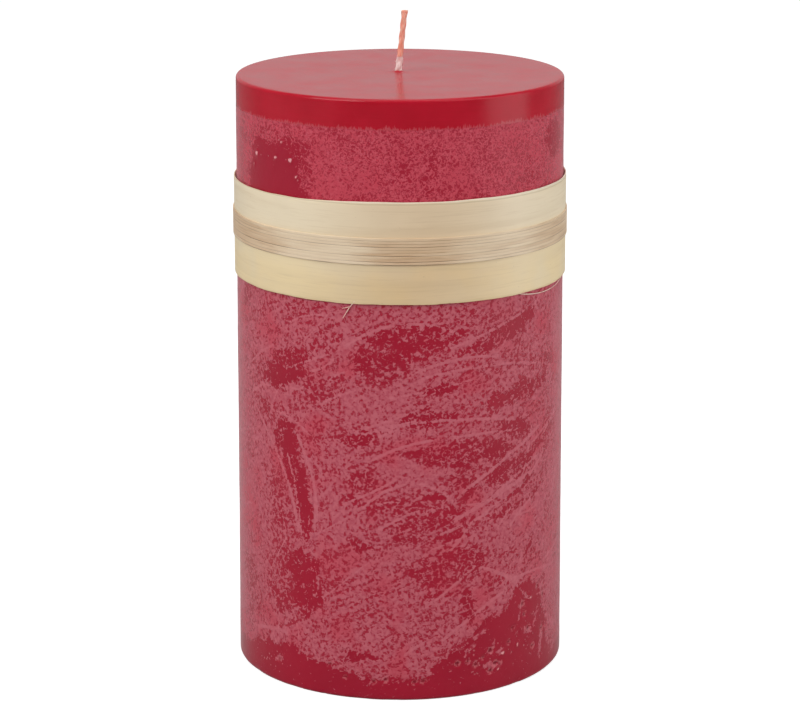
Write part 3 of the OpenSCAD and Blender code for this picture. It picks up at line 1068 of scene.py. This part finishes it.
def tinned_steel():
    """Stamped tin plate: bright, with fine rolling scratches and dull spots."""
    g = Graph("tinned_steel")
    scratch = g.noise(0.25, g.vector("MULTIPLY", g.place, (0.06, 1, 1)), detail=3, roughness=0.7)
    dull = g.noise(3, detail=3, shift=1)
    colour = g.blend(g.rise(dull, 0.4, 0.7), rgb(205, 205, 208), rgb(172, 172, 174))
    return g.finish(Base_Color=colour, Metallic=1.0, Roughness=g.fit(dull, 0.3, 0.7, 0.22, 0.42),
                    Normal=g.bump(scratch, 0.02 * MM, 0.5))


def dried_glue():
    """Amber, clouded glue."""
    g = Graph("dried_glue")
    cloud = g.noise(1.5, detail=3)
    colour = g.blend(g.rise(cloud, 0.35, 0.7), rgb(206, 170, 104), rgb(228, 204, 150))
    return g.finish(Base_Color=colour, Roughness=g.fit(cloud, 0, 1, 0.3, 0.5),
                    Normal=g.bump(cloud, 0.05 * MM, 0.5))


# ---- the setting

# The camera: its focal length in mm, its distances from the centre of the base, and its tilt down
LENS = 136.15
CAMERA_AHEAD = 756.65 * MM
CAMERA_UP = 272.47 * MM
CAMERA_TILT = 14.365
# Watts that each square metre of a light panel has for each unit of radiance
PANEL_POWER = 4


def set_camera():
    """A long lens in front of the candle and above it, looking down at it."""
    data = bpy.data.cameras.new("camera")
    data.sensor_width = 36
    data.lens = LENS
    data.clip_start = 0.01
    camera = placed("camera", data)
    camera.location = (0, -CAMERA_AHEAD, CAMERA_UP)
    camera.rotation_euler = (math.radians(90 - CAMERA_TILT), 0, 0)
    bpy.context.scene.camera = camera


def panel(name, azimuth, distance, low, size, radiance, tilt=0):
    """A soft light panel round the candle, its lower edge at a height, turned down by a tilt.

    size is its width and height, and radiance is how bright it looks in a reflection."""
    data = bpy.data.lights.new(name, "AREA")
    data.shape = "RECTANGLE"
    data.size, data.size_y = size
    data.energy = radiance * PANEL_POWER * size[0] * size[1]
    light = placed(name, data)
    x, y = around(distance, azimuth)
    light.location = (x, y, low + size[1] / 2)
    light.rotation_euler = (math.radians(90 - tilt), 0, math.radians(azimuth))
    light.visible_camera = False


def set_room():
    """Plain white to the camera, and else a dim light from all round, brighter from the back."""
    world = bpy.data.worlds.new("studio")
    world.use_nodes = True
    g = Nodes(world.node_tree)
    place = g.node("ShaderNodeTexCoord").outputs["Generated"]
    depth = g.node("ShaderNodeSeparateXYZ", Vector=place).outputs["Y"]
    front, back = ROOM_LIGHT
    level = g.node("ShaderNodeMapRange", {"interpolation_type": "SMOOTHSTEP"}, Value=depth,
                   From_Min=0.45, From_Max=0.9, To_Min=front, To_Max=back).outputs["Result"]
    lit, shown = (g.node("ShaderNodeBackground", Color=(1, 1, 1, 1), Strength=strength)
                  for strength in (level, 1.0))
    seen = g.node("ShaderNodeLightPath").outputs["Is Camera Ray"]
    g.show(lit, shown, "ShaderNodeMixShader", "World Output", Fac=seen)
    bpy.context.scene.world = world


def set_floor():
    """A wide, matt, grey floor with its own white, which only the camera sees."""
    grid = rings([(0, 0, reach, -0.02 * MM) for reach in (3.0, 1.0, 0.3, 0.1, 0.001)],
                 np.arange(0, 360, 5.0))
    floor = lattice("floor", grid, wrap_rows=False, capped=False)
    g = Graph("floor")
    tint = g.blend(g.noise(60, detail=2), (0.5, 0.5, 0.5, 1), (0.53, 0.53, 0.53, 1))
    g.finish(Base_Color=tint, Roughness=0.9, Specular_IOR_Level=0.1)
    seen = g.node("ShaderNodeLightPath").outputs["Is Camera Ray"]
    glow = g.node("ShaderNodeEmission", Strength=g.times(seen, FLOOR_GLOW))
    g.show(g.shader, glow, "ShaderNodeAddShader", "Material Output")
    floor.data.materials.append(g.material)


def set_lights():
    """Large panels at both sides, one overhead and two high in front."""
    panel("left_panel", -72, 0.42, 0, (0.46, 0.42), 0.14)
    panel("right_panel", 77, 0.42, 0, (0.26, 0.42), 1.1)
    panel("top_panel", 0, 0.12, 0.85, (0.9, 0.7), 1.3, tilt=75)
    panel("high_left_panel", -48, 0.9, 0.5, (0.7, 0.6), 3.25, tilt=35)
    panel("high_right_panel", 50, 0.9, 0.5, (0.6, 0.6), 1.2, tilt=35)


def build():
    """Makes every piece and gives it its material."""
    frosted, glossy = frosted_wax(), smooth_wax()
    dress(wax_body(), frosted, "candle", "frosted_wax", "wax_body")
    dress(top_pour(), glossy, "candle", "smooth_wax", "top_pour")
    cotton, coated = bare_cotton(), waxed_cotton()
    dress(wick_plait(), cotton, "candle", "waxed_cotton", "wick")
    dress(wick_coat(), coated, "candle", "waxed_cotton")
    dress(wick_fuzz(), cotton, "candle", "waxed_cotton")
    dress(strip(), veneer(), "band", "veneer", "strip")
    fibre = dried_strand()
    for node in BELT_NODES:
        dress(strand(node), fibre, "band", "strand", node)
    dress(stray_fibres(), splinter(), "band", "veneer")
    tin, glue = tinned_steel(), dried_glue()
    for node, material in (("wick_tab", tin), ("strip_glue", glue), ("belt_glue", glue)):
        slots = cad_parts[node].data.materials
        slots.clear()
        slots.append(material)


bpy.context.scene.view_settings.view_transform = "Standard"
set_camera()
set_room()
set_floor()
set_lights()
build()
